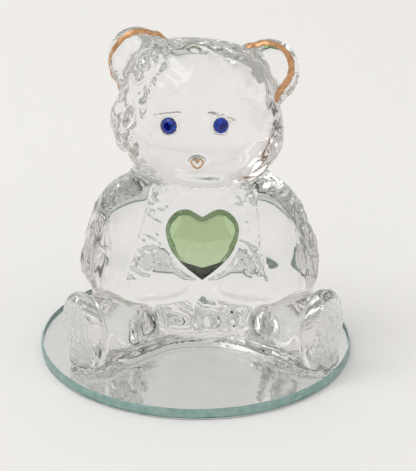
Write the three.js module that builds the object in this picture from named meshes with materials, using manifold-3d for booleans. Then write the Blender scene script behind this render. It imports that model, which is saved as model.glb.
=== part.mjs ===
// Seated glass bear on a round mirror disc. Millimetres, +Z up, the bear faces -Y.
// The origin is the centre of the mirror's underside. Nothing moves: every piece is glued, fused or painted on.
import * as THREE from 'three';
import { mergeVertices } from 'three/addons/utils/BufferGeometryUtils.js';
import Module from 'manifold-3d';

const wasm = await Module();
wasm.setup();

// ---- driving dimensions -------------------------------------------------------------------------------
const mirrorDiameter = 60;
const mirrorGlass = 1.8;
const silverFilm = 0.1;
const backPaint = 0.2;
const edgeChamfer = 0.2;
const discSides = 60;

const glueFilm = 0.15;          // adhesive between the mirror and the figure
const figureX = 1.6;            // the figure stands slightly to the right of the mirror's centre
const figureLean = 0.034;       // sideways lean of the figure, mm per mm of height
const plinthHeight = 1.9;       // pressed rim around the foot of the figure
const headTurn = -5;            // degrees about Z, towards the viewer's left
const headTilt = 3.5;           // degrees about Y

const heartWidth = 13.6;
const heartThickness = 4.2;
const heartTilt = 18;           // degrees that the heart looks upwards
const eyeDiameter = 2.8;
const goldFilm = 0.25;
const clearance = 0.06;         // between small pieces bedded in each other

const mirrorTop = backPaint + silverFilm + mirrorGlass;
const figureBase = mirrorTop + glueFilm;

// ---- helpers ------------------------------------------------------------------------------------------
const radians = THREE.MathUtils.degToRad;

/** A closed three.js geometry as a solid, with shared vertices merged and empty triangles dropped. */
function solid(geometry) {
  const bare = geometry.clone();
  bare.deleteAttribute('normal');
  bare.deleteAttribute('uv');
  const merged = mergeVertices(bare, 1e-5);
  const triangles = [];
  for (let i = 0; i < merged.index.count; i += 3) {
    const [a, b, c] = [0, 1, 2].map((k) => merged.index.getX(i + k));
    if (a !== b && b !== c && c !== a) triangles.push(a, b, c);
  }
  const vertProperties = new Float32Array(merged.attributes.position.array);
  return new wasm.Manifold(new wasm.Mesh({ numProp: 3, vertProperties, triVerts: new Uint32Array(triangles) }));
}

/** A solid as a three.js geometry. */
function surface(body) {
  const mesh = body.getMesh();
  const geometry = new THREE.BufferGeometry();
  geometry.setAttribute('position', new THREE.BufferAttribute(new Float32Array(mesh.vertProperties), 3));
  geometry.setIndex(new THREE.BufferAttribute(new Uint32Array(mesh.triVerts), 1));
  geometry.computeVertexNormals();
  return geometry;
}

const join = (bodies) => bodies.reduce((all, body) => all.add(body));

function rotation(x, y, z) {
  return new THREE.Matrix4().makeRotationFromEuler(new THREE.Euler(radians(x), radians(y), radians(z), 'ZYX'));
}

function shift(x, y, z) {
  return new THREE.Matrix4().makeTranslation(x, y, z);
}

/** One rounded mass of glass: an ellipsoid at a place in the figure, turned by Euler angles in degrees. */
function lump({ at, radii, turn = [0, 0, 0], pose = figurePose, sides = 16, grow = 0 }) {
  const geometry = new THREE.SphereGeometry(1, sides, Math.round(sides * 0.64));
  geometry.rotateX(Math.PI / 2);
  geometry.scale(...radii.map((radius) => radius + grow));
  geometry.applyMatrix4(rotation(...turn));
  geometry.applyMatrix4(shift(...at));
  geometry.applyMatrix4(pose);
  return solid(geometry);
}

// The figure's own frame has its centre line at X = 0 and its foot at the mirror's top face. It leans as it rises.
const figurePose = new THREE.Matrix4().set(
  1, 0, -figureLean, figureX + figureLean * mirrorTop,
  0, 1, 0, 0,
  0, 0, 1, 0,
  0, 0, 0, 1);

// The head turns and tilts about the top of the neck.
const neckPivot = [0, 3, 40];
const headPose = figurePose.clone()
  .multiply(shift(...neckPivot))
  .multiply(rotation(0, headTilt, headTurn))
  .multiply(shift(...neckPivot.map((value) => -value)));

// ---- the glass figure ---------------------------------------------------------------------------------
const ear = { radii: [5.9, 3.0, 6.5], reach: 11.7, offset: 0.4, y: 4, z: 55.7, splay: 30, toe: 8 };
const dishes = { left: { inward: 2.3, radii: [3.1, 1.9, 4.0] }, right: { inward: 1.7, radii: [3.4, 1.9, 4.3] } };

/** The body: a pear shape, the belly below it, the shoulders, the smooth back and the seat of the heart. */
function trunk() {
  return join([
    lump({ at: [0, 6, 18.5], radii: [15.3, 12.5, 19.5], sides: 22 }),
    lump({ at: [0, 1, 14.5], radii: [12.5, 9, 11] }),
    lump({ at: [0, 5.2, 33.4], radii: [12.9, 8.6, 8.5] }),
    lump({ at: [0, 6, 21], radii: [19.3, 11.3, 14.5], sides: 22 }),
    lump({ at: [0, 0.6, 23.5], radii: [12.5, 7.9, 9.2], sides: 20 }),
  ]);
}

function arm(side) {
  const reach = side < 0 ? 14.5 : 13.9;
  return join([
    lump({ at: [side * reach, 2, 23.2], radii: [6.9, 8.3, 11.8], turn: [8, -side * 17, 0] }),
    lump({ at: [side * 10.6, -5.6, 19], radii: [9.2, 5, 4.7], turn: [0, side * 14, side * 24] }),
  ]);
}

function leg(side) {
  const soleHalf = side < 0 ? 7.6 : 8;
  return join([
    lump({ at: [side * 12, 0, 14], radii: [4, 4, 4], sides: 10 }),
    lump({ at: [side * 13, -2.2, 8], radii: [6.6, 13, 7.2], turn: [0, 0, side * 47] }),
    lump({ at: [side * 22, -12.2, soleHalf + 1.5], radii: [5.4, 2.5, soleHalf], turn: [0, side * 10, side * 50] }),
  ]);
}

function earLump(side, options = {}) {
  return lump({
    at: [side * ear.reach + ear.offset, ear.y, ear.z],
    radii: ear.radii,
    turn: [0, side * ear.splay, -side * ear.toe],
    pose: headPose,
    sides: 14,
    ...options,
  });
}

/** The hollow pressed into the front of an ear. */
function earDish(side) {
  const { inward, radii } = side < 0 ? dishes.left : dishes.right;
  const front = rotation(0, side * ear.splay, -side * ear.toe).multiply(shift(-side * inward, -3.4, 0));
  const at = new THREE.Vector3().setFromMatrixPosition(front);
  return earLump(side, {
    at: [side * ear.reach + ear.offset + at.x, ear.y + at.y, ear.z + at.z],
    radii,
    sides: 12,
  });
}

/** The head without its ears: two rounded masses under a shallow dome, which flattens the crown. */
function skull(grow = 0) {
  const masses = [
    lump({ at: [0, 2.2, 43.8], radii: [15.9, 12.6, 10.7], pose: headPose, sides: 20, grow }),
    lump({ at: [0, 2.9, 49.4], radii: [14.2, 12.3, 14.6], pose: headPose, sides: 20, grow }),
  ];
  const dome = lump({ at: [0, 2.9, 40.4], radii: [34, 20.5, 20], pose: headPose, sides: 40, grow });
  return join(masses).intersect(dome);
}

/** Plan outline of one leg's part of the rim: two arcs of different radius joined by their tangents. */
function legOutline(side, inset) {
  const hip = { x: side * 7.5, y: 3, radius: 6.6 - inset };
  const toe = { x: side * 20.6, y: -10.6, radius: 4.8 - inset };
  const along = Math.atan2(toe.y - hip.y, toe.x - hip.x);
  const span = Math.hypot(toe.x - hip.x, toe.y - hip.y);
  const tangent = Math.acos((hip.radius - toe.radius) / span);
  const outline = new THREE.Shape();
  outline.absarc(hip.x, hip.y, hip.radius, along + tangent, along - tangent + 2 * Math.PI, false);
  outline.absarc(toe.x, toe.y, toe.radius, along - tangent, along + tangent, false);
  return outline;
}

/** The footprint of the figure, drawn in by inset and raised from z by height. */
function footprint(z, height, inset) {
  const seat = new THREE.Shape();
  seat.absellipse(0, 7, 13 - inset, 10.2 - inset, 0, 2 * Math.PI);
  const options = { depth: height, bevelEnabled: false, curveSegments: 10 };
  const outlines = [seat, legOutline(-1, inset), legOutline(1, inset)];
  return join(outlines.map((outline) => {
    const slab = new THREE.ExtrudeGeometry(outline, options);
    slab.translate(figureX, 0, z);
    return solid(slab);
  }));
}

// ---- places on the figure -----------------------------------------------------------------------------
/** A frame whose +Z leaves the glass along a given direction, for the pieces set into its front. */
function seatFrame(at, outward, twist = 0) {
  const direction = new THREE.Vector3(...outward).normalize();
  const across = new THREE.Vector3(0, 0, 1).cross(direction).normalize();
  const up = direction.clone().cross(across);
  const frame = new THREE.Matrix4().makeBasis(across, up, direction);
  frame.setPosition(...at);
  return frame.multiply(rotation(0, 0, twist));
}

const eyes = {
  left: seatFrame([-5.06, -9.1, 48.7], [-0.32, -0.92, 0.22]),
  right: seatFrame([4.34, -9.62, 49.0], [0.2, -0.95, 0.23]),
};
const nose = { radius: 1.85, reach: 1.1, flat: 1.5, frame: seatFrame([0.1, -10, 42.1], [-0.06, -0.98, -0.1]) };
const heartSeat = seatFrame([1.1, -6.55, 24.5], [0, -Math.cos(radians(heartTilt)), Math.sin(radians(heartTilt))]);

/** A solid of revolution about +Z from [radius, height] pairs. */
function turned(profile, sides) {
  const geometry = new THREE.LatheGeometry(profile.map(([radius, height]) => new THREE.Vector2(radius, height)), sides);
  geometry.rotateX(Math.PI / 2);
  return geometry;
}

// ---- eye stones: cone-backed round stones in conical sockets -------------------------------------------
const eyeSides = 12;
const eyeRadius = eyeDiameter / 2;
const eyeCone = 1.15;           // depth of the cone behind the girdle
const eyeCrown = 0.55;          // height of the facets in front of the girdle
const eyeTable = eyeRadius * 0.55;
const foilFilm = 0.14;
const socketWall = 0.24;        // glue around a stone

function eyeStone() {
  return turned([[0, -eyeCone], [eyeRadius, -0.08], [eyeRadius, 0.08], [eyeTable, eyeCrown], [0, eyeCrown]], eyeSides);
}

/** A cone cup behind the stone, between two offsets from the stone's back. */
function cup(inner, outer, lip) {
  return turned([
    [0, -eyeCone - outer],
    [eyeRadius + outer * 0.8, -0.1 - outer * 0.3],
    [eyeRadius + outer * 0.8, lip],
    [eyeRadius + inner * 0.8, lip],
    [eyeRadius + inner * 0.8, -0.1 - inner * 0.3],
    [0, -eyeCone - inner],
  ], eyeSides);
}

const foilInner = clearance;
const foilOuter = foilInner + foilFilm;
const glueInner = foilOuter + clearance;
const glueOuter = glueInner + socketWall;
const socketOuter = glueOuter + clearance;

function eyeSocket(frame) {
  const cutter = turned([
    [0, -eyeCone - socketOuter],
    [eyeRadius + socketOuter * 0.8, -0.1 - socketOuter * 0.3],
    [eyeRadius + socketOuter * 0.8, 2],
    [0, 2],
  ], eyeSides);
  return solid(cutter.applyMatrix4(frame));
}

// ---- nose ---------------------------------------------------------------------------------------------
function noseButton() {
  const geometry = turned([
    [0, -2.5],
    [nose.radius, -2.5],
    [nose.radius, nose.reach - 0.6],
    [nose.radius - 0.15, nose.reach - 0.2],
    [nose.flat, nose.reach],
    [0, nose.reach],
  ], 20);
  return solid(geometry.applyMatrix4(nose.frame));
}

/** A heart's outline. Half its width sets every other length. */
function heartOutline(width) {
  const half = width / 2;
  const top = half * 0.96;
  const cleft = half * 0.75;
  const tip = -half * 0.97;
  const outline = new THREE.Shape();
  outline.moveTo(0, tip);
  outline.bezierCurveTo(half * 0.5, half * -0.6, half * 0.95, half * -0.3, half, half * 0.38);
  outline.bezierCurveTo(half, half * 0.66, half * 0.76, top, half * 0.46, top);
  outline.bezierCurveTo(half * 0.3, top, half * 0.12, cleft + half * 0.05, 0, cleft);
  outline.bezierCurveTo(-half * 0.12, cleft + half * 0.05, -half * 0.3, top, -half * 0.46, top);
  outline.bezierCurveTo(-half * 0.76, top, -half, half * 0.66, -half, half * 0.38);
  outline.bezierCurveTo(half * -0.95, half * -0.3, half * -0.5, half * -0.6, 0, tip);
  return outline;
}

function noseGold() {
  const ring = heartOutline(2.6);
  ring.holes.push(heartOutline(1.8));
  const geometry = new THREE.ExtrudeGeometry(ring, { depth: goldFilm, bevelEnabled: false, curveSegments: 4 });
  geometry.translate(0, 0, nose.reach + clearance);
  return geometry;
}

// ---- heart stone --------------------------------------------------------------------------------------
const heartBevel = 1.5;
const heartGlue = 0.35;

function heartStone() {
  const geometry = new THREE.ExtrudeGeometry(heartOutline(heartWidth), {
    depth: heartThickness - 2 * heartBevel,
    bevelThickness: heartBevel,
    bevelSize: heartBevel,
    bevelOffset: -heartBevel,
    bevelSegments: 1,
    curveSegments: 5,
  });
  geometry.translate(0, 0, heartBevel + heartGlue + 2 * clearance);
  return geometry;
}

function heartGluePad() {
  const outline = heartOutline(heartWidth - 2 * heartBevel - 1);
  const geometry = new THREE.ExtrudeGeometry(outline, { depth: heartGlue, bevelEnabled: false, curveSegments: 4 });
  geometry.translate(0, 0, clearance);
  return geometry;
}

/** The belly is pressed flat behind the heart. */
function heartFlat() {
  const block = new THREE.CylinderGeometry(8.2, 8.2, 12, 28);
  block.rotateX(Math.PI / 2);
  block.translate(0, 0, 6);
  return solid(block.applyMatrix4(heartSeat));
}

function bearGlass() {
  const sides = [-1, 1];
  const masses = [trunk(), skull(), noseButton(), footprint(figureBase, plinthHeight, 0)];
  const paired = sides.flatMap((side) => [arm(side), leg(side), earLump(side)]);
  const cuts = [earDish(-1), earDish(1), eyeSocket(eyes.left), eyeSocket(eyes.right), heartFlat()];
  const below = new THREE.BoxGeometry(120, 120, 40);
  below.translate(0, 0, figureBase - 20);
  return join([...masses, ...paired]).subtract(join(cuts)).subtract(solid(below));
}

// ---- gold lines on the ears ----------------------------------------------------------------------------
/**
 * A band of gold on the front of an ear's rim, between two fractions of the ear's outline. The angles are in
 * degrees: 0 is the ear's outer end and 90 its top.
 */
function earGold(side, { from, to, inner, outer }) {
  const [start, end] = (side < 0 ? [180 - to, 180 - from] : [from, to]).map(radians);
  const band = new THREE.Shape();
  band.absellipse(0, 0, ear.radii[0] * outer, ear.radii[2] * outer, start, end, false);
  band.absellipse(0, 0, ear.radii[0] * inner, ear.radii[2] * inner, end, start, true);
  const prism = new THREE.ExtrudeGeometry(band, { depth: 8, bevelEnabled: false, curveSegments: 14 });
  prism.rotateX(Math.PI / 2);
  prism.applyMatrix4(rotation(0, side * ear.splay, -side * ear.toe));
  prism.translate(side * ear.reach + ear.offset, ear.y, ear.z);
  prism.applyMatrix4(headPose);
  const film = earLump(side, { grow: goldFilm + clearance }).subtract(earLump(side, { grow: clearance }));
  return film.intersect(solid(prism)).subtract(skull(0.3)).subtract(earDish(side));
}

// ---- mirror -------------------------------------------------------------------------------------------
function disc(radius, from, to, chamfer = 0) {
  const profile = [[0, from], [radius - chamfer, from]];
  if (chamfer > 0) profile.push([radius, from + chamfer], [radius, to - chamfer]);
  profile.push([radius - chamfer, to], [0, to]);
  return turned(profile, discSides);
}

// ---- assembly -----------------------------------------------------------------------------------------
const group = new THREE.Group();

function add(name, geometry, color, roughness, metalness, frame) {
  const material = new THREE.MeshStandardMaterial({ color, roughness, metalness });
  const mesh = new THREE.Mesh(geometry, material);
  mesh.name = name;
  if (frame) frame.decompose(mesh.position, mesh.quaternion, mesh.scale);
  group.add(mesh);
}

const discRadius = mirrorDiameter / 2;
add('mirror_back_paint', disc(discRadius - edgeChamfer, 0, backPaint), 0x6d7073, 0.6, 0);
add('mirror_silvering', disc(discRadius - edgeChamfer, backPaint, backPaint + silverFilm), 0xd9dcdc, 0.05, 1);
add('mirror_glass', disc(discRadius, backPaint + silverFilm, mirrorTop, edgeChamfer), 0x9cc0ba, 0.02, 0);
add('base_adhesive', surface(footprint(mirrorTop, glueFilm, 0.9)), 0xe6e4de, 0.2, 0);
add('bear_glass', surface(bearGlass()), 0xe2deda, 0.03, 0);
add('heart_adhesive', heartGluePad(), 0xe8e6df, 0.25, 0, heartSeat);
add('heart_stone', heartStone(), 0x8fae72, 0.04, 0, heartSeat);

for (const [name, frame] of Object.entries(eyes)) {
  add(`${name}_eye_stone`, eyeStone(), 0x1a2f9e, 0.04, 0, frame);
  add(`${name}_eye_foil`, cup(foilInner, foilOuter, -0.04), 0xb9bcc4, 0.2, 1, frame);
  add(`${name}_eye_glue`, cup(glueInner, glueOuter, 0.12), 0xe8e6df, 0.25, 0, frame);
}

const gold = [0xcc9a66, 0.32, 0.9];
add('left_ear_gold', surface(earGold(-1, { from: -28, to: 160, inner: 0.82, outer: 1.05 })), ...gold);
add('right_ear_gold', surface(earGold(1, { from: -42, to: 150, inner: 0.72, outer: 0.94 })), ...gold);
add('nose_gold', noseGold(), ...gold, nose.frame);

export default group;
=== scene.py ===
import math

import bmesh
import bpy
import numpy as np
from mathutils import Matrix, Vector


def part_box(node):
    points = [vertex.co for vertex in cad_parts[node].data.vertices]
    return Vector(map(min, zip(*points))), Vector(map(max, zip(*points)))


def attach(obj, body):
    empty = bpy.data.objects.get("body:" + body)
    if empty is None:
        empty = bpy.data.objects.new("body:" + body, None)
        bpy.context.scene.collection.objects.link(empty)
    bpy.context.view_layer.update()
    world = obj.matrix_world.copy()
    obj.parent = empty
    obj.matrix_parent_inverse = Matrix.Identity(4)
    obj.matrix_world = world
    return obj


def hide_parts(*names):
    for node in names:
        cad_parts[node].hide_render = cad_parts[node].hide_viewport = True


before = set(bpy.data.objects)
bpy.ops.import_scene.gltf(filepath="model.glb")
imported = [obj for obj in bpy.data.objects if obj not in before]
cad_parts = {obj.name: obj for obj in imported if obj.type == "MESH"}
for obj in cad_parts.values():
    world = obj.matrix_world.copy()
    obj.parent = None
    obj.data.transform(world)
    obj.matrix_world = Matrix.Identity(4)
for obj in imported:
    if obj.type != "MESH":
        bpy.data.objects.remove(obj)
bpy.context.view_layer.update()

MM = 0.001

# ---- places taken from the frame, in millimetres --------------------------------------------------------


def box_mm(node):
    """Lowest and highest corner of a node's box."""
    low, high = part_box(node)
    return np.array(low) / MM, np.array(high) / MM


def box_half(node):
    """Half the width of a node across X."""
    low, high = box_mm(node)
    return (high[0] - low[0]) / 2


MIRROR_RADIUS = box_half("mirror_glass")
MIRROR_TOP = box_mm("mirror_glass")[1][2]
SILVER_TOP = box_mm("mirror_silvering")[1][2]
FIGURE_BASE = box_mm("bear_glass")[0][2]

# ---- the figure's own dimensions, in millimetres, as in the CAD part ------------------------------------
FIGURE_X = 1.6
LEAN = 0.034
PLINTH_HEIGHT = 1.9
HEAD_TURN = -5
HEAD_TILT = 3.5
NECK_PIVOT = np.array([0, 3, 40])

# Grid steps of the bear and the pads. A pad is meshed stretched in height, so that it spans several steps.
GRID_STEP = 0.38
PAD_STEP = 0.4
PAD_STRETCH = 5.0

# How far pieces that touch reach into each other, so that no sliver of air is left between them.
WETTING = 0.03
SHEET_OVERLAP = 0.05

# The camera's place, its pitch, yaw and roll in degrees, and its lens.
CAMERA_AT = (0, -331.5, 170.4)
CAMERA_ANGLES = (23.95, 0.38, 0.37)
CAMERA_LENS = 146.4


def rotation(x, y, z):
    """Rotation by Euler angles in degrees: about X first, then Y, then Z."""
    about_x, about_y, about_z = (
        Matrix.Rotation(math.radians(angle), 3, axis) for angle, axis in ((x, "X"), (y, "Y"), (z, "Z")))
    return np.array(about_z @ about_y @ about_x)


HEAD_ROTATION = rotation(0, HEAD_TILT, HEAD_TURN)


def figure_space(points):
    """World points in the figure's own frame, which leans as it rises."""
    local = points.copy()
    local[:, 0] += LEAN * (points[:, 2] - MIRROR_TOP) - FIGURE_X
    return local


def head_space(local):
    """Points of the figure in the frame of its turned and tilted head."""
    return (local - NECK_PIVOT) @ HEAD_ROTATION + NECK_PIVOT


def world_from_figure(local):
    world = local.copy()
    world[:, 0] += FIGURE_X - LEAN * (local[:, 2] - MIRROR_TOP)
    return world


def world_from_head(points):
    return world_from_figure((points - NECK_PIVOT) @ HEAD_ROTATION.T + NECK_PIVOT)


# ---- distance fields: negative inside the glass ---------------------------------------------------------


def ellipsoid(points, at, radii, turn=(0, 0, 0), power=2):
    """Roughly the distance to an ellipsoid. A power above 2 makes its sides flatter."""
    local = points - np.array(at)
    if any(turn):
        local = local @ rotation(*turn)
    radii = np.array(radii, float)
    part = np.abs(local / radii)
    near = (part ** power).sum(axis=1) ** (1 / power)
    slope = np.linalg.norm(part ** (power - 1) / radii, axis=1) + 1e-9
    return (near - 1) * near ** (power - 1) / slope


def blend(a, b, width):
    """Union of two fields with a fillet of about the given width."""
    mix = np.maximum(width - np.abs(a - b), 0) / width
    return np.minimum(a, b) - mix * mix * width * 0.25


def carve(a, b, width):
    """Field a with field b cut out of it, the edge rounded."""
    return -blend(-a, b, width)


def fade(value, start, end):
    """0 at start and 1 at end, smooth between."""
    part = np.clip((value - start) / (end - start), 0, 1)
    return part * part * (3 - 2 * part)


def ripple(points, scale, seed):
    """Smooth noise between about -1 and 1 with features of the given size."""
    directions = np.random.default_rng(seed).normal(size=(5, 3))
    phases = np.random.default_rng(seed + 1).uniform(0, 2 * math.pi, 5)
    total = np.zeros(len(points))
    for direction, phase in zip(directions, phases):
        wave = direction / np.linalg.norm(direction) * (2 * math.pi / scale)
        total += np.sin(points @ wave + phase + 1.3 * np.sin(points @ wave[[1, 2, 0]] * 0.6))
    return total / 2.6


EAR = {"radii": (5.9, 3.0, 6.5), "reach": 11.7, "offset": 0.4, "y": 4, "z": 55.7, "splay": 30, "toe": 8}


def ear_place(side):
    """Centre and rotation of an ear in the head's frame. side is -1 on the viewer's left."""
    centre = np.array([side * EAR["reach"] + EAR["offset"], EAR["y"], EAR["z"]])
    return centre, rotation(0, side * EAR["splay"], -side * EAR["toe"])


def trunk(p):
    """The pear-shaped body, its belly, shoulders and smooth flat-sided back, and the seat of the heart."""
    field = ellipsoid(p, (0, 6, 18.5), (15.3, 12.5, 19.5))
    field = blend(field, ellipsoid(p, (0, 1, 14.3), (12.6, 9, 11), power=3), 3)
    field = blend(field, ellipsoid(p, (0, 5.2, 33.4), (12.9, 8.6, 8.5)), 2.5)
    field = blend(field, ellipsoid(p, (0, 6, 18), (19.2, 11.35, 17.6), power=2.7), 2)
    return blend(field, ellipsoid(p, (0, 0.6, 23.5), (11.5, 7.9, 9.2)), 2)


def arm(p, side):
    """The upper arm, and the forearm that crosses the belly towards the heart."""
    reach = 14.5 if side < 0 else 13.9
    upper = ellipsoid(p, (side * reach, 1.5, 23.1), (6.8, 8.1, 11.5), (12, -side * 18, 0), 2.5)
    fore = ellipsoid(p, (side * 10.6, -5.1, 17.1), (9.3, 4.6, 4.0), (0, side * 14, side * 24), 3)
    return blend(upper, fore, 7)


def sole_place(side):
    """Half height, centre and rotation of a sole in the figure's frame."""
    half = 7.6 if side < 0 else 8
    return half, np.array([side * 22, -12.2, half + 1.5]), rotation(0, side * 10, side * 50)


def leg(p, side):
    """The thigh and the flat-faced sole."""
    half, centre, turn = sole_place(side)
    thigh = ellipsoid(p, (side * 13, -2.2, 8), (6.6, 13, 7.2), (0, 0, side * 47))
    local = (p - centre) @ turn
    sole = carve(ellipsoid(local, (0, 0, 0), (5.5, 3.4, half)), local[:, 1] + 2.1, 1.2)
    return blend(thigh, sole, 1.3)


def sole_disc(p, side):
    """Negative on the flat, stippled face of a sole."""
    half, centre, turn = sole_place(side)
    local = (p - centre) @ turn
    return np.maximum(np.hypot(local[:, 0] / 5.0, local[:, 2] / (half - 0.6)) - 0.9, local[:, 1] + 1.2)


EAR_DISHES = {-1: (2.5, (3.3, 2.0, 4.3)), 1: (1.9, (3.6, 2.0, 4.5))}


def ear(p, side):
    """A rounded ear with a dish in its front."""
    centre, turn = ear_place(side)
    local = (p - centre) @ turn
    body = ellipsoid(local, (0, 0, 0), EAR["radii"])
    inward, radii = EAR_DISHES[side]
    return carve(body, ellipsoid(local, (-side * inward, -3.4, -0.2), radii), 0.8)


BROWS = {-1: (-4.9, -8.84, 50.3), 1: (4.8, -9.04, 50.85)}
BROW_RADII = (2.9, 0.7, 0.45)
LIP = {"at": (1.3, -8.0, 38.3), "radii": (4.2, 1.1, 1.0)}

# Hollows left in the head by the press: centres just outside the glass, in the head's frame, and radii.
DENTS = [
    ((-10.7, -4.3, 55.6), (1.3, 1.4, 1.8)),
    ((-9.0, -6.6, 54.0), (0.8, 1.5, 1.8)),
    ((-12.9, -6.0, 48.6), (1.5, 2.1, 3.4)),
    ((-14.2, -5.9, 43.4), (1.5, 2.0, 2.8)),
    ((-9.0, -7.8, 38.0), (2.8, 1.8, 1.3)),
    ((-13.0, -6.6, 51.6), (2.2, 1.3, 0.8)),
    ((3.4, -1.2, 61.2), (1.9, 1.3, 1.3)),
    ((-4.6, -4.0, 60.6), (1.5, 1.0, 1.1)),
    ((13.0, -3.2, 53.6), (0.8, 1.4, 2.6)),
]


def head(p):
    """Two rounded masses under a shallow dome, with ears, brows, a lip and the hollows of the press."""
    field = ellipsoid(p, (0, 2.2, 43.8), (15.9, 12.6, 10.7))
    field = blend(field, ellipsoid(p, (0, 2.9, 49.4), (14.2, 12.3, 14.6)), 3)
    field = carve(field, -ellipsoid(p, (0, 2.9, 40.4), (34, 20.5, 20)), 2.5)
    for side in (-1, 1):
        brow = ellipsoid(p, BROWS[side], BROW_RADII, (0, side * 17, side * 16))
        field = blend(field, brow, 0.4)
        field = blend(field, ear(p, side), 2.0)
    field = blend(field, ellipsoid(p, LIP["at"], LIP["radii"]), 0.8)
    for at, radii in DENTS:
        field = carve(field, ellipsoid(p, at, radii), 0.5)
    return field


# The creases between arms and chest, from the elbow up: heights, and distances from the centre line.
CREASES = {
    -1: ((17, 23.5, 26.5, 34), (14.6, 11.2, 10.9, 8.2)),
    1: ((18, 24, 27, 33.5), (12.4, 10.4, 10.5, 9.9)),
}


def creases(points, p):
    """A groove on the front beside each arm, with uneven glass on its inner side."""
    front = (1 - fade(p[:, 1], -2.5, 0.5)) * fade(p[:, 2], 17, 20) * (1 - fade(p[:, 2], 34, 36))
    total = np.zeros(len(p))
    for side, (heights, reaches) in CREASES.items():
        inward = np.interp(p[:, 2], heights, reaches) - side * p[:, 0]
        groove = 0.42 * np.exp(-(inward / 0.5) ** 2)
        strip = (0.3 if side < 0 else 0.16) * fade(inward, -0.8, 0.4) * (1 - fade(inward, 2.8, 4))
        total += front * (groove + strip * ripple(points, 1.7, 43))
    return total


def folds(points, p):
    """Uneven glass below the chin, where the arms meet the legs, and down the outside of the arms."""
    reach, height = np.abs(p[:, 0]), p[:, 2]
    front = 1 - fade(p[:, 1], -1, 2)
    behind_soles = fade(p[:, 1], -7.5, -5.5)
    chest = 0.28 * fade(height, 28.5, 31) * (1 - fade(height, 34.5, 36)) * (1 - fade(reach, 8, 10))
    hips = np.where(p[:, 0] < 0, 0.3, 0.16) * np.exp(-((height - 11.8) / 1.8) ** 2)
    hips *= fade(reach, 12.5, 14.5) * behind_soles
    outside = 0.28 * fade(reach, 16.2, 18.2) * fade(height, 13, 16) * (1 - fade(height, 28, 31))
    streaks = outside * behind_soles * ripple(points * (1, 1, 0.45), 2.9, 55)
    return front * (chest * ripple(points, 3.3, 51) + hips * ripple(points, 2.4, 53)) + streaks


def wrinkles(points, p):
    """The unevenness left by the press: beside the face, on the crown and in the creases of the arms."""
    h = head_space(p)
    on_head = fade(p[:, 2], 34, 38)
    ears = fade(h[:, 2], 50, 54) * fade(np.abs(h[:, 0] - 0.4), 8.5, 10.5)
    beside = 0.5 * fade(-h[:, 0], 6.5, 10) + 0.08 * fade(h[:, 0], 10, 13)
    on_top = 0.26 * fade(h[:, 2], 50.5, 54) * (1 - fade(h[:, 1], 3, 9))
    broad = (beside + on_top) * ripple(points, 7.5, 41)
    fine = (0.6 * beside + 0.95 * on_top) * ripple(points, 3.8, 45)
    return (broad + fine) * (1 - 0.95 * ears) * on_head + creases(points, p) + folds(points, p)


def seat_texture(points, p):
    """Rough glass low on the back, where the mould opened."""
    mask = fade(p[:, 2], 2.0, 2.8) * (1 - fade(p[:, 2], 6.2, 7.4)) * fade(p[:, 1], 8, 11)
    return 0.42 * mask * (1 - fade(np.abs(p[:, 0]), 8, 10)) * ripple(points, 2.4, 47)


def footprint(p):
    """Plan outline of the foot: tapered capsules under the legs and an ellipse under the seat."""
    x, y = np.abs(p[:, 0]), p[:, 1]
    hip, toe = np.array([7.5, 3.0]), np.array([20.6, -10.6])
    hip_radius, toe_radius = 6.6, 4.8
    span = toe - hip
    along = np.clip(((x - hip[0]) * span[0] + (y - hip[1]) * span[1]) / (span @ span), 0, 1)
    leg_part = np.hypot(x - hip[0] - span[0] * along, y - hip[1] - span[1] * along)
    leg_part -= hip_radius + (toe_radius - hip_radius) * along
    seat = (np.hypot(x / 13, (y - 7) / 10.2) - 1) * 11
    return blend(leg_part, seat, 5)


def plinth(p):
    """The pressed rim around the foot."""
    top = p[:, 2] - FIGURE_BASE - PLINTH_HEIGHT
    return carve(footprint(p), -top, 0.3)


def figure(points):
    """The whole glass figure, without the sockets for its stones."""
    p = figure_space(points)
    field = trunk(p)
    for side in (-1, 1):
        field = blend(field, arm(p, side), 2)
    for side in (-1, 1):
        field = blend(field, leg(p, side), 1.6)
    field = blend(field, head(head_space(p)), 1.0)
    field = field + wrinkles(points, p)
    field = blend(field, plinth(p), 0.4) + seat_texture(points, p)
    return carve(field, points[:, 2] - FIGURE_BASE, 0.25)


# ---- seats for the stones -------------------------------------------------------------------------------


def seat(at, outward):
    """A frame whose Z leaves the glass along outward, as columns."""
    direction = np.array(outward, float) / np.linalg.norm(outward)
    across = np.cross((0, 0, 1), direction)
    across /= np.linalg.norm(across)
    return np.array(at, float), np.column_stack([across, np.cross(direction, across), direction])


HEART_TILT = math.radians(18)
EYE_SEATS = {
    "left": seat((-5.06, -9.1, 48.7), (-0.32, -0.92, 0.22)),
    "right": seat((4.34, -9.62, 49.0), (0.2, -0.95, 0.23)),
}
NOSE_SEAT = seat((0.1, -10, 42.1), (-0.06, -0.98, -0.1))
HEART_SEAT = seat((1.1, -6.55, 24.5), (0, -math.cos(HEART_TILT), math.sin(HEART_TILT)))


def local_to(place, points):
    """World points in the frame of a seat."""
    at, axes = place
    return (points - at) @ axes


def world_from(place, points):
    at, axes = place
    return np.asarray(points) @ axes.T + at


NOSE_BUTTON = {"at": (0, -0.2, -0.3), "radii": (2.0, 1.85, 1.1)}
HEART_FLAT_RADIUS = 6.6
SOCKET_RADIUS, SOCKET_DEPTH = 1.85, 1.75


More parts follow.
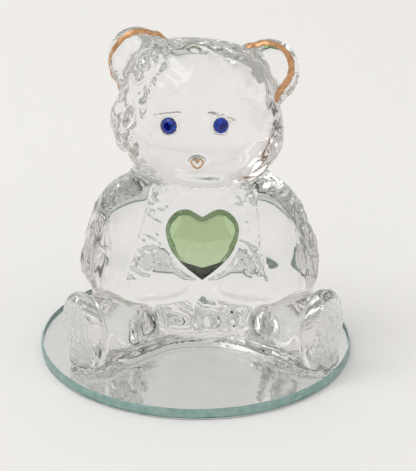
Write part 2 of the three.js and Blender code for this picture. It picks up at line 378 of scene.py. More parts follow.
def bear(points):
    """The glass figure with its nose button, the flat for its heart and the conical sockets for its eyes."""
    nose = local_to(NOSE_SEAT, points)
    field = blend(figure(points), ellipsoid(nose, NOSE_BUTTON["at"], NOSE_BUTTON["radii"]), 0.5)
    belly = local_to(HEART_SEAT, points)
    reach = np.hypot(belly[:, 0], belly[:, 1])
    field = carve(field, np.maximum(reach - HEART_FLAT_RADIUS, -belly[:, 2]), 0.9)
    for place in EYE_SEATS.values():
        eye = local_to(place, points)
        reach = np.hypot(eye[:, 0], eye[:, 1])
        cone = (reach - SOCKET_RADIUS - np.minimum(eye[:, 2], 0)) * 0.7
        field = carve(field, np.maximum(cone, -eye[:, 2] - SOCKET_DEPTH), 0.2)
    return field


# ---- field to mesh --------------------------------------------------------------------------------------


def crossing_mesh(field, low, high, step):
    """Surface nets: one vertex in each cell that the surface crosses, one quad across each crossed edge."""
    count = np.ceil((np.array(high) - low) / step).astype(int) + 1
    axes = [low[i] + step * np.arange(count[i]) for i in range(3)]
    grid = np.empty(tuple(count))
    flat_y, flat_z = [part.ravel() for part in np.meshgrid(axes[1], axes[2], indexing="ij")]
    for i, x in enumerate(axes[0]):
        points = np.column_stack([np.full_like(flat_y, x), flat_y, flat_z])
        grid[i] = field(points).reshape(count[1], count[2])
    inside = grid < 0
    corners = [(a, b, c) for a in (0, 1) for b in (0, 1) for c in (0, 1)]
    shape = count - 1
    filled = sum(inside[a:a + shape[0], b:b + shape[1], c:c + shape[2]].astype(int) for a, b, c in corners)
    crossed = (filled > 0) & (filled < 8)
    cells = np.argwhere(crossed)
    index = np.full(crossed.shape, -1)
    index[crossed] = np.arange(len(cells))
    total = np.zeros((len(cells), 3))
    hits = np.zeros(len(cells))
    for a in corners:
        for b in corners:
            if b <= a or sum(abs(np.subtract(a, b))) != 1:
                continue
            at_a = grid[tuple((cells + a).T)]
            at_b = grid[tuple((cells + b).T)]
            hit = (at_a < 0) != (at_b < 0)
            part = np.where(hit, at_a / np.where(hit, at_a - at_b, 1), 0)
            total += (np.array(a) + np.subtract(b, a) * part[:, None]) * hit[:, None]
            hits += hit
    vertices = np.array(low) + step * (cells + total / hits[:, None])
    quads = []
    for axis in range(3):
        first = [slice(None)] * 3
        second = [slice(None)] * 3
        first[axis] = slice(0, -1)
        second[axis] = slice(1, None)
        here = inside[tuple(first)]
        edges = np.argwhere(here != inside[tuple(second)])
        u, v = [k for k in range(3) if k != axis]
        leaving = here[tuple(edges.T)]
        ring = []
        for du, dv in ((-1, -1), (0, -1), (0, 0), (-1, 0)):
            cell = edges.copy()
            cell[:, u] += du
            cell[:, v] += dv
            ring.append(index[tuple(cell.T)])
        quad = np.stack(ring, axis=1)
        forward = leaving if axis != 1 else ~leaving
        quads.append(np.where(forward[:, None], quad, quad[:, ::-1]))
    return vertices, np.vstack(quads)


def gradient(field, points, reach=0.05):
    slopes = [field(points + offset) - field(points - offset) for offset in np.eye(3) * reach]
    return np.stack(slopes, axis=1) / (2 * reach)


def settle(field, points, steps=3):
    """Moves points on to the field's zero surface and returns them with the surface normals."""
    for _ in range(steps):
        slope = gradient(field, points)
        points = points - slope * (field(points) / ((slope ** 2).sum(axis=1) + 1e-9))[:, None] * 0.9
    slope = gradient(field, points)
    return points, slope / np.linalg.norm(slope, axis=1, keepdims=True)


def new_object(name, vertices, faces, normals=None, smooth=True):
    """A mesh object from millimetre vertices."""
    mesh = bpy.data.meshes.new(name)
    mesh.from_pydata((np.asarray(vertices) * MM).tolist(), [], [list(map(int, face)) for face in faces])
    mesh.validate()
    if smooth:
        mesh.shade_smooth()
    else:
        mesh.shade_flat()
    if normals is not None:
        mesh.normals_split_custom_set_from_vertices(np.asarray(normals).tolist())
    obj = bpy.data.objects.new(name, mesh)
    bpy.context.scene.collection.objects.link(obj)
    return obj


def finished(obj, material, slot, *nodes):
    """Gives a piece its material and its body, and hides the CAD nodes that it stands for; its record slot
    is not used.
    """
    obj.data.materials.clear()
    obj.data.materials.append(material)
    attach(obj, "root")
    if nodes:
        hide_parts(*nodes)
    return obj


# ---- materials ------------------------------------------------------------------------------------------
# A solid of glass has one material over its whole surface, because its absorption ends only where light
# leaves by the material through which it came in. What differs from face to face is kept on the faces.


def mark_faces(obj, name, values):
    """Stores a number or a colour on each face, for the material to read."""
    values = np.asarray(values, float)
    attribute = obj.data.attributes.new(name, "FLOAT" if values.ndim == 1 else "FLOAT_COLOR", "FACE")
    attribute.data.foreach_set("value" if values.ndim == 1 else "color", values.ravel())


def marked(nodes, name):
    """The node that reads what mark_faces stored."""
    attribute = nodes.new("ShaderNodeAttribute")
    attribute.attribute_name = name
    return attribute


def between(nodes, links, source, low, high):
    """A number that runs from low to high as the source runs from 0 to 1."""
    spread = nodes.new("ShaderNodeMapRange")
    spread.inputs["To Min"].default_value = low
    spread.inputs["To Max"].default_value = high
    links.new(source, spread.inputs["Value"])
    return spread.outputs["Result"]


def new_material(name):
    material = bpy.data.materials.new(name)
    material.use_nodes = True
    nodes, links = material.node_tree.nodes, material.node_tree.links
    return material, nodes, links, nodes["Principled BSDF"]


def noise_node(nodes, links, scale, detail=3.0):
    place = nodes.new("ShaderNodeTexCoord")
    noise = nodes.new("ShaderNodeTexNoise")
    noise.inputs["Scale"].default_value = scale
    noise.inputs["Detail"].default_value = detail
    links.new(place.outputs["Object"], noise.inputs["Vector"])
    return noise


def add_bump(nodes, links, shader, source, strength, distance):
    """Bumps the surface. The strength is a number, or an output that varies over the surface."""
    bump = nodes.new("ShaderNodeBump")
    if isinstance(strength, float):
        bump.inputs["Strength"].default_value = strength
    else:
        links.new(strength, bump.inputs["Strength"])
    bump.inputs["Distance"].default_value = distance
    links.new(source, bump.inputs["Height"])
    links.new(bump.outputs["Normal"], shader.inputs["Normal"])


def ramp_color(nodes, links, source, dark, light):
    """A colour that runs from dark to light over the middle third of the source's range."""
    ramp = nodes.new("ShaderNodeValToRGB")
    for element, position, color in zip(ramp.color_ramp.elements, (0.35, 0.65), (dark, light)):
        element.position = position
        element.color = (*color, 1)
    links.new(source, ramp.inputs["Fac"])
    return ramp.outputs["Color"]


def add_absorption(nodes, links, color, density):
    volume = nodes.new("ShaderNodeVolumeAbsorption")
    volume.inputs["Color"].default_value = (*color, 1)
    volume.inputs["Density"].default_value = density
    links.new(volume.outputs["Volume"], nodes["Material Output"].inputs["Volume"])


def with_painted_shade(nodes, links, tint, color):
    """A colour multiplied by the painted shade kept on the faces."""
    layer = nodes.new("ShaderNodeMix")
    layer.data_type = "RGBA"
    layer.blend_type = "MULTIPLY"
    layer.inputs["Factor"].default_value = 1
    links.new(color, layer.inputs["A"])
    links.new(marked(nodes, tint).outputs["Color"], layer.inputs["B"])
    return layer.outputs["Result"]


GLASS_IOR, RESIN_IOR = 1.52, 1.5


def glass(name, dark, light, ior=GLASS_IOR, absorption=None, speckle=900, tint=None):
    """Clear or coloured glass. Its tint wanders between dark and light, and its surface waves slightly."""
    material, nodes, links, shader = new_material(name)
    grain = noise_node(nodes, links, speckle, 2)
    color = ramp_color(nodes, links, grain.outputs["Fac"], dark, light)
    # On faceted stones the base colour is darkened or lightened by the painted shade kept on each facet.
    links.new(with_painted_shade(nodes, links, tint, color) if tint else color, shader.inputs["Base Color"])
    shader.inputs["Roughness"].default_value = 0
    shader.inputs["IOR"].default_value = ior
    shader.inputs["Transmission Weight"].default_value = 1
    wave = noise_node(nodes, links, 120, 1.5)
    add_bump(nodes, links, shader, wave.outputs["Fac"], 0.02, 0.0004)
    if absorption:
        add_absorption(nodes, links, *absorption)
    return material


def pressed_glass(name, absorption):
    """Clear glass, with stippled soles where the faces are marked."""
    material, nodes, links, shader = new_material(name)
    sole = marked(nodes, "stippled").outputs["Fac"]
    grain = noise_node(nodes, links, 1000, 2)
    color = ramp_color(nodes, links, grain.outputs["Fac"], (0.99, 0.99, 0.99), (1, 1, 1))
    links.new(color, shader.inputs["Base Color"])
    links.new(between(nodes, links, sole, 0.0, 0.2), shader.inputs["Roughness"])
    shader.inputs["IOR"].default_value = GLASS_IOR
    links.new(between(nodes, links, sole, 1.0, 0.55), shader.inputs["Transmission Weight"])
    add_bump(nodes, links, shader, grain.outputs["Fac"], between(nodes, links, sole, 0.0, 1.0), 0.0009)
    add_absorption(nodes, links, *absorption)
    return material


def sheet_glass(name, dark, light, absorption):
    """Float glass whose ground edge, where faces are marked, scatters part of the light in its own tint."""
    material, nodes, links, shader = new_material(name)
    edge = marked(nodes, "ground").outputs["Fac"]
    grain = noise_node(nodes, links, 700)
    clear = nodes.new("ShaderNodeMix")
    clear.data_type = "RGBA"
    links.new(edge, clear.inputs["Factor"])
    clear.inputs["A"].default_value = (1, 1, 1, 1)
    links.new(ramp_color(nodes, links, grain.outputs["Fac"], dark, light), clear.inputs["B"])
    links.new(clear.outputs["Result"], shader.inputs["Base Color"])
    links.new(between(nodes, links, edge, 0.0, 0.3), shader.inputs["Roughness"])
    shader.inputs["IOR"].default_value = GLASS_IOR
    links.new(between(nodes, links, edge, 1.0, 0.45), shader.inputs["Transmission Weight"])
    add_bump(nodes, links, shader, grain.outputs["Fac"], between(nodes, links, edge, 0.0, 0.6), 0.0003)
    add_absorption(nodes, links, *absorption)
    return material


def lacquer(name, dark, light):
    """The painted back of the mirror, with a fine orange peel."""
    material, nodes, links, shader = new_material(name)
    noise = noise_node(nodes, links, 400)
    links.new(ramp_color(nodes, links, noise.outputs["Fac"], dark, light), shader.inputs["Base Color"])
    shader.inputs["Roughness"].default_value = 0.55
    add_bump(nodes, links, shader, noise.outputs["Fac"], 0.4, 0.0001)
    return material


def metal(name, dark, light, roughness, noise_scale):
    """Metal whose colour and roughness wander, with a faint grain."""
    material, nodes, links, shader = new_material(name)
    shader.inputs["Metallic"].default_value = 1
    noise = noise_node(nodes, links, noise_scale)
    links.new(ramp_color(nodes, links, noise.outputs["Fac"], dark, light), shader.inputs["Base Color"])
    rough = between(nodes, links, noise.outputs["Fac"], roughness * 0.75, roughness * 1.25)
    links.new(rough, shader.inputs["Roughness"])
    add_bump(nodes, links, shader, noise.outputs["Fac"], 0.3, 0.0001)
    return material


# ---- camera, floor and light ----------------------------------------------------------------------------


def make_camera():
    """A camera in front of the figure, looking slightly down at it."""
    pitch, yaw, roll = (math.radians(angle) for angle in CAMERA_ANGLES)
    forward = Vector((math.sin(yaw) * math.cos(pitch), math.cos(yaw) * math.cos(pitch), -math.sin(pitch)))
    right = forward.cross(Vector((0, 0, 1))).normalized()
    up = right.cross(forward)
    right, up = right * math.cos(roll) + up * math.sin(roll), up * math.cos(roll) - right * math.sin(roll)
    camera = bpy.data.objects.new("camera", bpy.data.cameras.new("camera"))
    bpy.context.scene.collection.objects.link(camera)
    axes = Matrix((right, up, -forward)).transposed().to_4x4()
    camera.matrix_world = Matrix.Translation(Vector(CAMERA_AT) * MM) @ axes
    camera.data.sensor_width = 36
    camera.data.lens = CAMERA_LENS
    camera.data.clip_start = 0.01
    camera.data.clip_end = 20
    bpy.context.scene.camera = camera


def make_floor():
    """A plain disc of pale paper, wide enough to fill the view."""
    mesh = bpy.data.meshes.new("floor")
    shape = bmesh.new()
    bmesh.ops.create_circle(shape, cap_ends=True, segments=96, radius=3.0)
    shape.to_mesh(mesh)
    shape.free()
    floor = bpy.data.objects.new("floor", mesh)
    bpy.context.scene.collection.objects.link(floor)
    material, *_, shader = new_material("floor_paper")
    shader.inputs["Base Color"].default_value = (0.955, 0.953, 0.95, 1)
    shader.inputs["Roughness"].default_value = 0.9
    shader.inputs["Specular IOR Level"].default_value = 0.1
    mesh.materials.append(material)


def world_card(nodes, links, direction, towards, half_angle, softness, color, under):
    """Lays a soft-edged round card of the given colour over the studio colour, centred on a direction."""
    dot = nodes.new("ShaderNodeVectorMath")
    dot.operation = "DOT_PRODUCT"
    dot.inputs[1].default_value = Vector(towards).normalized()
    links.new(direction, dot.inputs[0])
    cover = nodes.new("ShaderNodeMapRange")
    cover.interpolation_type = "SMOOTHSTEP"
    cover.inputs["From Min"].default_value = math.cos(math.radians(half_angle + softness))
    cover.inputs["From Max"].default_value = math.cos(math.radians(max(half_angle - softness, 0)))
    links.new(dot.outputs["Value"], cover.inputs["Value"])
    layer = nodes.new("ShaderNodeMix")
    layer.data_type = "RGBA"
    links.new(cover.outputs["Result"], layer.inputs["Factor"])
    links.new(under, layer.inputs["A"])
    layer.inputs["B"].default_value = (*color, 1)
    return layer.outputs["Result"]


STUDIO_CARDS = [
    # direction, half angle, softness, colour
    ((-0.35, 0.1, 1.0), 13, 4, (1.5, 1.5, 1.47)),
    ((0.7, -0.2, 0.8), 8, 3, (1.5, 1.5, 1.47)),
    ((-0.72, -0.7, 0.02), 19, 7, (0.04, 0.04, 0.038)),
    ((1.0, -0.12, 0.08), 14, 5, (0.05, 0.05, 0.045)),
]


def make_world():
    """An even pale tent with two bright panels overhead and dark openings between its sheets."""
    world = bpy.data.worlds.new("studio")
    bpy.context.scene.world = world
    world.use_nodes = True
    nodes, links = world.node_tree.nodes, world.node_tree.links
    background = nodes["Background"]
    place = nodes.new("ShaderNodeTexCoord")
    axes = nodes.new("ShaderNodeSeparateXYZ")
    links.new(place.outputs["Generated"], axes.inputs["Vector"])
    height = nodes.new("ShaderNodeValToRGB")
    links.new(axes.outputs["Z"], height.inputs["Fac"])
    ramp = height.color_ramp
    ramp.elements[0].position = 0.0
    ramp.elements[0].color = (0.81, 0.785, 0.765, 1)
    ramp.elements[1].position = 1.0
    ramp.elements[1].color = (0.70, 0.68, 0.66, 1)
    middle = ramp.elements.new(0.35)
    middle.color = (0.77, 0.75, 0.73, 1)
    color = height.outputs["Color"]
    for card in STUDIO_CARDS:
        color = world_card(nodes, links, place.outputs["Generated"], *card, color)
    links.new(color, background.inputs["Color"])
    plain = nodes.new("ShaderNodeBackground")
    plain.inputs["Color"].default_value = (0.95, 0.95, 0.95, 1)
    path = nodes.new("ShaderNodeLightPath")
    choose = nodes.new("ShaderNodeMixShader")
    links.new(path.outputs["Is Camera Ray"], choose.inputs["Fac"])
    links.new(background.outputs["Background"], choose.inputs[1])
    links.new(plain.outputs["Background"], choose.inputs[2])
    links.new(choose.outputs["Shader"], nodes["World Output"].inputs["Surface"])


def add_softbox(name, at, towards, size, power):
    light = bpy.data.lights.new(name, "AREA")
    light.shape = "RECTANGLE"
    light.size, light.size_y = size
    light.energy = power
    box = bpy.data.objects.new(name, light)
    bpy.context.scene.collection.objects.link(box)
    box.location = at
    box.rotation_euler = (Vector(towards) - Vector(at)).to_track_quat("-Z", "Y").to_euler()


# ---- pieces ---------------------------------------------------------------------------------------------


def make_bear(material):
    low, high = box_mm("bear_glass")
    vertices, faces = crossing_mesh(bear, low - 2, high + 2, GRID_STEP)
    vertices, normals = settle(bear, vertices)
    piece = new_object("pressed_glass_bear", vertices, faces, normals)
    return finished(piece, material, "clear_glass", "bear_glass")


def lathe(profile, sides):
    """Rings about Z from [radius, height] pairs; a radius of 0 makes a pole."""
    vertices, rings, faces = [], [], []
    for radius, height in profile:
        if radius == 0:
            rings.append([len(vertices)] * sides)
            vertices.append((0, 0, height))
            continue
        rings.append([len(vertices) + i for i in range(sides)])
        angles = [2 * math.pi * i / sides for i in range(sides)]
        vertices += [(radius * math.cos(angle), radius * math.sin(angle), height) for angle in angles]
    for lower, upper in zip(rings, rings[1:]):
        for i in range(sides):
            j = (i + 1) % sides
            ring = list(dict.fromkeys([lower[i], lower[j], upper[j], upper[i]]))
            faces.append(ring)
    return np.array(vertices, float), faces


def thin_pad(name, outline, low, high, place=None):
    """A flat pad between two heights, made from the field of its outline, with rounded edges."""
    middle, half = (low[2] + high[2]) / 2, (high[2] - low[2]) / 2
    squash = np.array([1, 1, 1 / PAD_STRETCH])

    def field(points):
        local = points * squash
        height = (np.abs(local[:, 2] - middle) - half) * PAD_STRETCH
        return carve(outline(local), -height, 0.6)

    margin = np.array([1, 1, 0.2])
    vertices, faces = crossing_mesh(field, (low - margin) / squash, (high + margin) / squash, PAD_STEP)
    vertices, normals = settle(field, vertices)
    vertices = vertices * squash
    normals = normals / squash
    normals /= np.linalg.norm(normals, axis=1, keepdims=True)
    if place is not None:
        vertices, normals = world_from(place, vertices), normals @ place[1].T
    return new_object(name, vertices, faces, normals)


def make_adhesive(material):
    """Cured adhesive: it wets the faces that it joins, so each pad reaches slightly into both."""
    low, high = box_mm("base_adhesive")
    low[2] -= WETTING
    high[2] += WETTING
    flat = np.array([1, 1, 0])

    def spread(p):
        voids = ripple(p * flat, 3.4, 5) - 0.8
        return np.maximum(footprint(figure_space(p)) + 0.9 + 0.35 * ripple(p * flat, 9, 3), voids)

    base = thin_pad("base_glue_film", spread, low, high)
    finished(base, material, "clear_adhesive", "base_adhesive")
    half = heart_outline(box_half("heart_stone"), 5)
    loop = np.vstack([half, half[-2:0:-1] * (-1, 1)])

    def under_heart(p):
        return loop_distance(loop, p) + 1.15 + 0.12 * ripple(p * flat, 6, 8)

    pad_low, pad_high = np.array([-6.5, -6.5, -0.5]), np.array([6.5, 6.5, HEART_BACK + WETTING])
    pad = thin_pad("heart_glue_pad", under_heart, pad_low, pad_high, HEART_SEAT)
    finished(pad, material, "clear_adhesive", "heart_adhesive")


def heart_outline(half, samples=7, cleft_part=0.75):
    """Right half of the heart's outline from tip to cleft, as three curves; the CAD part has the same."""
    top, cleft, tip = half * 0.96, half * cleft_part, -half * 0.97
    curves = [
        ((0, tip), (half * 0.5, half * -0.6), (half * 0.95, half * -0.3), (half, half * 0.38)),
        ((half, half * 0.38), (half, half * 0.66), (half * 0.76, top), (half * 0.46, top)),
        ((half * 0.46, top), (half * 0.3, top), (half * 0.12, cleft + half * 0.05), (0, cleft)),
    ]
    points = []
    for start, first, second, end in curves:
        for t in np.arange(samples) / samples:
            weights = np.array([(1 - t) ** 3, 3 * t * (1 - t) ** 2, 3 * t * t * (1 - t), t ** 3])
            points.append(weights @ np.array([start, first, second, end]))
    points.append(np.array([0, cleft]))
    return np.array(points)


def loop_distance(loop, points):
    """Distance in plan to a closed loop, negative inside it."""
    edge = np.roll(loop, -1, axis=0) - loop
    offset = points[:, None, :2] - loop[None]
    along = np.clip((offset * edge).sum(axis=2) / (edge ** 2).sum(axis=1), 0, 1)
    gap = np.linalg.norm(offset - edge * along[..., None], axis=2).min(axis=1)
    beyond = offset[..., 0] * edge[:, 1] - offset[..., 1] * edge[:, 0]
    upwards = (offset[..., 1] >= 0) & (offset[..., 1] < edge[:, 1]) & (beyond < 0)
    downwards = (offset[..., 1] < 0) & (offset[..., 1] >= edge[:, 1]) & (beyond > 0)
    winding = upwards.sum(axis=1) - downwards.sum(axis=1)
    return np.where(winding != 0, -gap, gap)


def on_plane(a, b, c, point):
    """Height at a plan point of the plane through three corners."""
    normal = np.cross(np.subtract(b, a), np.subtract(c, a))
    return a[2] - (normal[0] * (point[0] - a[0]) + normal[1] * (point[1] - a[1])) / normal[2]


# The right half of the heart stone, in millimetres from its centre. The table's edge is given from its foot
# to the start of the lobe, and from there it follows the outline.
HEART_BACK, HEART_FACE = 0.47, 4.6
GIRDLE = (1.2, 2.5)
BACK_INSET, BACK_FOOT_INSET = 0.9, 1.2
LOBE_INSET = 0.8
TABLE_EDGE = [(0, -4.15), (1.45, -3.74), (2.9, -3.3), (4.2, -2.88), (4.6, -1.3), (5.0, 0.1), (5.6, 1.4)]
TABLE_CLEFT = (0, 4.4)
RIDGE_MIDDLE, RIDGE_END = (0, 0.5, HEART_FACE), (4.4, 1.4, HEART_FACE)
TABLE_FOOT = (*TABLE_EDGE[0], HEART_FACE - 1.0)
FACET_PEAK = (4.5, 3.4, HEART_FACE)

# The facet in the lobe's corner covers the outline's points above and outside these, and dips at its edge.
LOBE_FACET = (4.6, 2.2)
LOBE_FACET_DIP = 0.35


def heart_rings():
    """Four rings of the half stone, from back to table, each with one point for each point of the outline.
    Also says which points are in the lobe's corner facet."""
    outline = heart_outline(box_half("heart_stone"))
    count = len(outline)
    edge = np.gradient(outline, axis=0)
    inward = np.column_stack([-edge[:, 1], edge[:, 0]]) / np.linalg.norm(edge, axis=1, keepdims=True)
    table = outline + inward * LOBE_INSET
    table[:len(TABLE_EDGE)] = TABLE_EDGE
    table[-1] = TABLE_CLEFT
    back = outline + inward * BACK_INSET
    back[0], back[-1] = (0, outline[0, 1] + BACK_FOOT_INSET), (0, outline[-1, 1] - BACK_INSET)
    slope = [on_plane(RIDGE_MIDDLE, RIDGE_END, TABLE_FOOT, point) for point in table]
    heights = np.minimum(slope, HEART_FACE)
    in_lobe = (outline[:, 0] > LOBE_FACET[0]) & (outline[:, 1] > LOBE_FACET[1])
    heights[in_lobe] -= LOBE_FACET_DIP
    rings = [np.column_stack([plan, np.full(count, height)])
             for plan, height in ((back, HEART_BACK), (outline, GIRDLE[0]), (outline, GIRDLE[1]))]
    return [*rings, np.column_stack([table, heights])], in_lobe


# The looks of the heart's facets, and the painted shade of each: the tables are painted a little darker and
# the crown and the tip far darker, as painted shade for how the cut glass bends the light there. PLAIN is
# the back, the girdle and the lobe's facet.
PLAIN, LOWER_TABLE, UPPER_TABLE, CROWN, TIP = range(5)
PAINTED_FACET_SHADES = [(1, 1, 1), (0.86, 0.86, 0.86), (0.72, 0.73, 0.7), (0.1, 0.17, 0.07), (0.008, 0.008, 0.008)]

# Edges of the half outline, counted from the tip: those of the tip's facet and those beside the lower table.
# The last ones, beside the cleft, fan out from the middle of the ridge, like those of the tip.
TIP_EDGES, LOWER_EDGES, CLEFT_EDGES = 3, 6, 7


def table_look(edge):
    return LOWER_TABLE if edge < LOWER_EDGES else UPPER_TABLE


def heart_facets(in_lobe):
    """Faces of the half stone, as numbers of its corners, and the look of each."""
    count = len(in_lobe)
    ridge_middle, ridge_end, facet_peak, back = (4 * count + k for k in range(4))
    faces, looks = [], []
    for k in range(3):
        for i in range(count - 1):
            faces.append([k * count + i, k * count + i + 1, (k + 1) * count + i + 1, (k + 1) * count + i])
            crown_look = TIP if i < TIP_EDGES else CROWN
            looks.append(crown_look if k == 2 else PLAIN)
    for i in range(count - 1):
        faces.append([back, i + 1, i])
        looks.append(PLAIN)
    rim = 3 * count
    fan = []
    for i in range(count - 1):
        if in_lobe[i] or in_lobe[i + 1]:
            fan.append(facet_peak)
            looks.append(PLAIN)
        else:
            near_middle = i < TIP_EDGES or i >= count - CLEFT_EDGES
            fan.append(ridge_middle if near_middle else ridge_end)
            looks.append(table_look(i))
        faces.append([rim + i, rim + i + 1, fan[-1]])
    for i in range(1, count - 1):
        if fan[i] != fan[i - 1]:
            faces.append([rim + i, fan[i], fan[i - 1]])
            looks.append(table_look(i))
    return faces, looks


def make_heart(material):
    """A flat-backed heart stone: a table bent along a shallow V, crown facets, girdle and bevelled back."""
    rings, in_lobe = heart_rings()
    vertices = np.vstack([*rings, [RIDGE_MIDDLE, RIDGE_END, FACET_PEAK, (0, 0, HEART_BACK)]])
    faces, looks = heart_facets(in_lobe)
    stone = bmesh.new()
    for mirror in (1, -1):
        corners = [stone.verts.new((vertex[0] * mirror, vertex[1], vertex[2])) for vertex in vertices]
        for face, look in zip(faces, looks):
            stone.faces.new([corners[i] for i in face]).material_index = look
    bmesh.ops.remove_doubles(stone, verts=stone.verts, dist=1e-4)
    bmesh.ops.holes_fill(stone, edges=stone.edges)
    bmesh.ops.recalc_face_normals(stone, faces=stone.faces)
    stone.verts.index_update()
    points = world_from(HEART_SEAT, [vertex.co[:] for vertex in stone.verts])
    polygons = [[vertex.index for vertex in face.verts] for face in stone.faces]
    piece = new_object("cut_heart_stone", points, polygons, smooth=False)
    # Each face carries its painted shade: the tables a little darker, the crown and the tip far darker.
    mark_faces(piece, "painted_facet_shade", [(*PAINTED_FACET_SHADES[face.material_index], 1) for face in stone.faces])
    stone.free()
    finished(piece, material, "green_glass", "heart_stone")


def ring_of(radius, height, sides, offset=0.0):
    """Points of a regular polygon about Z, turned by a part of one side."""
    angles = (np.arange(sides) + offset) * 2 * math.pi / sides
    return np.column_stack([radius * np.cos(angles), radius * np.sin(angles), np.full(sides, height)])


# A round brilliant: its radius, and how far its rings lie above or below the middle of its girdle.
EYE_RADIUS = 1.4
TABLE_HEIGHT, STAR_HEIGHT, GIRDLE_HALF, PAVILION_DROP, POINT_DEPTH = 0.55, 0.36, 0.07, 0.52, 1.12


def make_eye_stone(name, place, material):
    """A round brilliant: table, star and kite facets, a 16-sided girdle and a pointed pavilion."""
    points = np.vstack([
        ring_of(EYE_RADIUS * 0.55, TABLE_HEIGHT, 8),
        ring_of(EYE_RADIUS * 0.8, STAR_HEIGHT, 8, 0.5),
        ring_of(EYE_RADIUS, GIRDLE_HALF, 16),
        ring_of(EYE_RADIUS, -GIRDLE_HALF, 16),
        ring_of(EYE_RADIUS * 0.62, -PAVILION_DROP, 8, 0.5),
        [(0, 0, -POINT_DEPTH)],
    ])
    shape = bmesh.new()
    for point in world_from(place, points):
        shape.verts.new(point)
    bmesh.ops.convex_hull(shape, input=shape.verts)
    bmesh.ops.dissolve_limit(shape, angle_limit=0.01, verts=shape.verts, edges=shape.edges)
    shape.verts.index_update()
    vertices = [vertex.co[:] for vertex in shape.verts]
    faces = [[vertex.index for vertex in face.verts] for face in shape.faces]
    shape.free()
    stone = new_object(f"{name}_eye_brilliant", vertices, faces, smooth=False)
    # Each facet is painted a random shade, lighter or darker, as painted sparkle for the light that the
    # facets of a cut stone catch and lose.
    painted_sparkle = np.random.default_rng(7).uniform(0.55, 1.3, len(faces))
    mark_faces(stone, "painted_facet_shade", [(shade, shade, shade, 1) for shade in painted_sparkle])
    return finished(stone, material, "blue_glass", f"{name}_eye_stone")


# Radius and height round a stone's axis, from under its point, over the lip and back down beside the stone.
EYE_GLUE = [(0, -1.78), (1.86, -0.06), (2.02, -0.2), (1.98, 0.0), (1.8, 0.12), (1.64, 0.12), (1.59, 0.0),
            (1.58, -0.18), (0, -1.43)]


def make_eye_glue(name, place, material, seed):
    """The cup of glue round a stone, with an uneven bead at its lip."""
    vertices, faces = lathe(EYE_GLUE, 48)
    reach = np.hypot(vertices[:, 0], vertices[:, 1])
    swell = np.clip((reach - 1.6) / 0.3, 0, 1) * 0.06 * ripple(vertices, 1.8, seed)
    vertices[:, :2] *= (1 + swell / np.maximum(reach, 0.5))[:, None]
    cup = new_object(f"{name}_eye_bead", world_from(place, vertices), faces)
    return finished(cup, material, "clear_adhesive", f"{name}_eye_glue")


# How deep the underside of a gold line lies in the glass, and how high its edges stand above it.
GOLD_SINK = 0.04
GOLD_EDGE = 0.004


def gold_film(name, node, centres, across, half_widths, material, thickness=0.07):
    """A painted band laid on the figure. centres are on the glass, across points sideways along it."""
    columns = 7
    spread = np.linspace(-1, 1, columns)
    count = len(centres)
    points = centres[:, None] + across[:, None] * (half_widths[:, None] * spread[None])[..., None]
    skin, normals = settle(bear, points.reshape(-1, 3))
    crown = np.tile(thickness * np.sqrt(np.maximum(1 - spread ** 2, 0)) + GOLD_EDGE, count)[:, None]
    vertices = np.vstack([skin + normals * crown, skin - normals * GOLD_SINK])
    faces = []
    under = count * columns
    for i in range(count - 1):
        for j in range(columns - 1):
            a, b = i * columns + j, (i + 1) * columns + j
            faces.append([a, a + 1, b + 1, b])
            faces.append([under + a, under + b, under + b + 1, under + a + 1])
    border = [i * columns for i in range(count)] + [(count - 1) * columns + j for j in range(1, columns)]
    border += [i * columns + columns - 1 for i in range(count - 2, -1, -1)] + list(range(columns - 2, 0, -1))
    for a, b in zip(border, border[1:] + border[:1]):
        faces.append([a, b, under + b, under + a])
    band = new_object(name, vertices, faces)
    return finished(band, material, "gold_lustre", node)


# Ear gold: degrees round the ear (0 is its outer end, 90 its top), degrees from the ear's front pole to its
# crest and half widths in millimetres.
EAR_GOLD = {
    -1: ((-64, -50, -36, -20, 4, 16, 38, 65, 96, 124, 150, 168),
         (84, 86, 86, 86, 86, 84, 66, 58, 63, 72, 82, 86),
         (0.4, 0.5, 0.52, 0.45, 0.36, 0.34, 0.38, 0.5, 0.58, 0.58, 0.6, 0.62)),
    1: ((-74, -58, -40, -22, 3, 22, 41, 72, 96, 110, 125, 148, 162),
        (40, 44, 45, 42, 41, 46, 54, 64, 68, 69, 69, 70, 71),
        (0.5, 0.7, 0.8, 0.8, 0.76, 0.7, 0.68, 0.6, 0.5, 0.5, 0.68, 0.95, 1.05)),
}


def make_ear_gold(side, node, material):
    """The gold line along the rim of an ear, narrower at its two ends."""
    angles, crest, widths = (np.array(row, float) for row in EAR_GOLD[side])
    count = 110
    along = np.linspace(angles[0], angles[-1], count)
    around = np.radians(along)
    tip = np.radians(np.interp(along, angles, crest))
    centre, turn = ear_place(side)
    flat = np.column_stack([side * np.cos(around) * np.sin(tip), -np.cos(tip), np.sin(around) * np.sin(tip)])
    smooth = flat.copy()
    for _ in range(6):
        smooth[1:-1] = (smooth[:-2] + smooth[1:-1] * 2 + smooth[2:]) / 4
    points = world_from_head(smooth * EAR["radii"] @ turn.T + centre)
    points, normals = settle(bear, points)
    forward = np.gradient(points, axis=0)
    across = np.cross(normals, forward)
    across /= np.linalg.norm(across, axis=1, keepdims=True)
    wander = ripple(points, 1.6, 11 + side)
    half_widths = np.interp(along, angles, widths) * (1 + 0.12 * wander)
    from_end = np.minimum(np.arange(count), np.arange(count)[::-1])
    half_widths *= np.clip(from_end / 3 + 0.5, 0, 1)
    name = "left" if side < 0 else "right"
    return gold_film(f"{name}_ear_gold_line", node, points, across, half_widths, material)


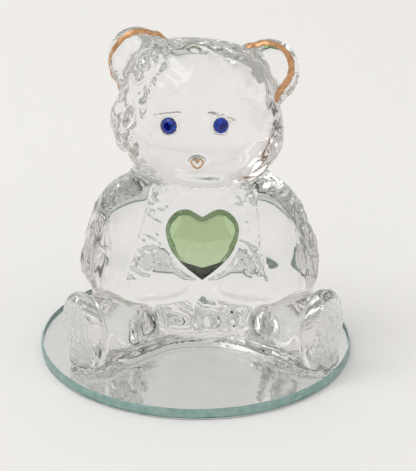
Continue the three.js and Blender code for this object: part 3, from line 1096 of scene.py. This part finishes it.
def make_nose_gold(material):
    """A small two-lobed heart outline painted on the nose button, heavier at the lobes and at the foot."""
    right = heart_outline(1.22, 9, 0.42)
    left = right[::-1] * (-1, 1)
    loop = np.vstack([right, left[1:]])
    loop[:, 1] *= np.where(loop[:, 1] < 0, 0.8, 1)
    loop[:, 0] += 0.05
    points = world_from(NOSE_SEAT, np.column_stack([loop[:, 0], loop[:, 1] - 0.15, np.full(len(loop), 1.3)]))
    points, normals = settle(bear, points, 6)
    forward = np.gradient(points, axis=0)
    forward[0] = forward[-1] = forward[0] + forward[-1]
    across = np.cross(normals, forward)
    across /= np.linalg.norm(across, axis=1, keepdims=True)
    heavy = 0.5 + 0.5 * np.cos(np.linspace(0, 4 * math.pi, len(loop)))
    half_widths = 0.13 + 0.07 * heavy + 0.02 * ripple(points, 0.8, 5)
    return gold_film("nose_gold_line", "nose_gold", points, across, half_widths, material, 0.05)


# Section of the mirror's glass, as parts of its radius and of its thickness.
RIM = [(0, 0.0), (0.93, 0.0), (0.985, 0.0), (0.997, 0.12), (1.0, 0.3),
       (1.0, 0.7), (0.996, 0.9), (0.985, 1.0), (0.93, 1.0), (0, 1.0)]


def make_mirror(glass_material, silver_material, paint_material):
    """The glass disc, its edge ground by hand and slightly uneven."""
    bottom = SILVER_TOP - SHEET_OVERLAP
    profile = [(MIRROR_RADIUS * reach, bottom + (MIRROR_TOP - bottom) * height) for reach, height in RIM]
    vertices, faces = lathe(profile, 360)
    reach = np.hypot(vertices[:, 0], vertices[:, 1])
    worn = np.clip((reach / MIRROR_RADIUS - 0.97) / 0.02, 0, 1)
    wave = 0.07 * ripple(vertices, 7, 21) + 0.04 * ripple(vertices, 1.7, 22) - 0.1
    vertices[:, :2] *= (1 + worn * wave / np.maximum(reach, 1))[:, None]
    disc = new_object("mirror_glass_disc", vertices, faces)
    finished(disc, glass_material, "mirror_glass", "mirror_glass")
    edge = [abs(polygon.normal.z) < 0.9 for polygon in disc.data.polygons]
    disc.data.polygons.foreach_set("use_smooth", edge)
    mark_faces(disc, "ground", edge)
    for node, material in (("mirror_silvering", silver_material), ("mirror_back_paint", paint_material)):
        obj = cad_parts[node]
        obj.data.materials.clear()
        obj.data.materials.append(material)


def mark_soles(obj):
    """Marks the faces of the two pressed soles, which are stippled."""
    centres = np.empty(len(obj.data.polygons) * 3)
    obj.data.polygons.foreach_get("center", centres)
    local = figure_space(centres.reshape(-1, 3) / MM)
    mark_faces(obj, "stippled", (sole_disc(local, -1) < 0) | (sole_disc(local, 1) < 0))


def main():
    make_camera()
    make_floor()
    make_world()
    add_softbox("key", (-0.5, -0.1, 0.8), (0, 0, 0.02), (0.5, 0.5), 1.6)
    bear_piece = make_bear(pressed_glass("clear_glass", ((0.86, 0.85, 0.838), 17)))
    mark_soles(bear_piece)
    teal = sheet_glass("mirror_glass", (0.35, 0.58, 0.54), (0.52, 0.75, 0.71), ((0.3, 0.62, 0.56), 26))
    silver = metal("silver_film", (0.9, 0.9, 0.9), (0.93, 0.93, 0.92), 0.01, 200)
    make_mirror(teal, silver, lacquer("back_paint", (0.4, 0.41, 0.41), (0.5, 0.51, 0.51)))
    resin = glass("clear_adhesive", (0.97, 0.97, 0.96), (1, 1, 1), RESIN_IOR)
    make_adhesive(resin)
    gold = metal("gold_lustre", (0.5, 0.26, 0.12), (0.78, 0.47, 0.27), 0.42, 1500)
    leaf = {"absorption": ((0.56, 0.78, 0.31), 250), "speckle": 1800, "tint": "painted_facet_shade"}
    make_heart(glass("green_glass", (0.93, 0.94, 0.92), (1, 1, 1), **leaf))
    blue = glass("blue_glass", (0.002, 0.008, 0.13), (0.03, 0.12, 0.95), speckle=1800, tint="painted_facet_shade")
    for seed, (name, place) in enumerate(EYE_SEATS.items()):
        make_eye_stone(name, place, blue)
        make_eye_glue(name, place, resin, 30 + seed)
        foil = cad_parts[f"{name}_eye_foil"]
        foil.data.materials.clear()
        foil.data.materials.append(silver)
    make_ear_gold(-1, "left_ear_gold", gold)
    make_ear_gold(1, "right_ear_gold", gold)
    make_nose_gold(gold)
    scene = bpy.context.scene
    scene.view_settings.view_transform = "Standard"
    scene.cycles.max_bounces = 24
    scene.cycles.transmission_bounces = 24
    scene.cycles.glossy_bounces = 12


main()
